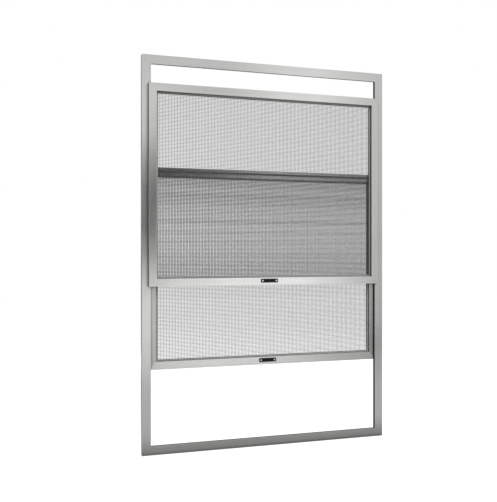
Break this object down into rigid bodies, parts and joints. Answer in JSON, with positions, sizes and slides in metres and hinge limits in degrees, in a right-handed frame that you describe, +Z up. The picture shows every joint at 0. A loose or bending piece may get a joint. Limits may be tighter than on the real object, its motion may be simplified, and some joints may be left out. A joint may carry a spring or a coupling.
{
  "type": "vertical sliding window screen",
  "caption": "Satin aluminium window screen frame with an upper and a lower insect-cloth sash that slide up and down in separate tracks, each with a black finger pull.",
  "frame": {"origin": "middle of the sill's underside, at mid width and mid depth of the outer frame", "axes": "+X to the right seen from the front, +Y from the front to the back, +Z up"},
  "size_m": [0.8, 0.029, 1.2],
  "materials": {
    "satin_aluminium": "satin anodised extrusion",
    "cast_key": "plain casting",
    "insect_cloth": "coated fibre threads",
    "spline_rubber": "matte",
    "black_plastic": "fine matte moulding",
    "screw_steel": "bright zinc",
    "glide_nylon": "natural nylon",
    "spring_steel": "rolled strip",
    "pile_fibre": "short dense pile"
  },
  "bodies": {
    "frame": {"left_jamb": "satin_aluminium", "right_jamb": "satin_aluminium", "head_rail": "satin_aluminium", "sill_rail": "satin_aluminium", "frame_key_bottom_left": "cast_key", "frame_key_top_left": "cast_key", "frame_key_top_right": "cast_key", "frame_key_bottom_right": "cast_key"},
    "upper_sash": {"upper_left_stile": "satin_aluminium", "upper_right_stile": "satin_aluminium", "upper_top_rail": "satin_aluminium", "upper_bottom_rail": "satin_aluminium", "upper_key_bottom_left": "cast_key", "upper_key_top_left": "cast_key", "upper_key_top_right": "cast_key", "upper_key_bottom_right": "cast_key", "upper_cloth": "insect_cloth", "upper_spline": "spline_rubber", "upper_pull": "black_plastic", "upper_pull_screw_left": "screw_steel", "upper_pull_screw_right": "screw_steel", "upper_glide_left_high": "glide_nylon", "upper_glide_left_low": "glide_nylon", "upper_glide_right_high": "glide_nylon", "upper_glide_right_low": "glide_nylon", "upper_spring_high": "spring_steel", "upper_spring_low": "spring_steel"},
    "lower_sash": {"lower_left_stile": "satin_aluminium", "lower_right_stile": "satin_aluminium", "lower_top_rail": "satin_aluminium", "lower_bottom_rail": "satin_aluminium", "lower_key_bottom_left": "cast_key", "lower_key_top_left": "cast_key", "lower_key_top_right": "cast_key", "lower_key_bottom_right": "cast_key", "lower_cloth": "insect_cloth", "lower_spline": "spline_rubber", "lower_pull": "black_plastic", "lower_pull_screw_left": "screw_steel", "lower_pull_screw_right": "screw_steel", "lower_glide_left_high": "glide_nylon", "lower_glide_left_low": "glide_nylon", "lower_glide_right_high": "glide_nylon", "lower_glide_right_low": "glide_nylon", "lower_spring_high": "spring_steel", "lower_spring_low": "spring_steel", "meeting_pile": "pile_fibre"}
  },
  "joints": [
    {"name": "upper_sash_slide", "type": "slide", "parent": "frame", "child": "upper_sash", "axis": [0, 0, 1], "range_m": [-0.4855, 0.0655]},
    {"name": "lower_sash_slide", "type": "slide", "parent": "frame", "child": "lower_sash", "axis": [0, 0, 1], "range_m": [-0.2337, 0.3153]}
  ]
}
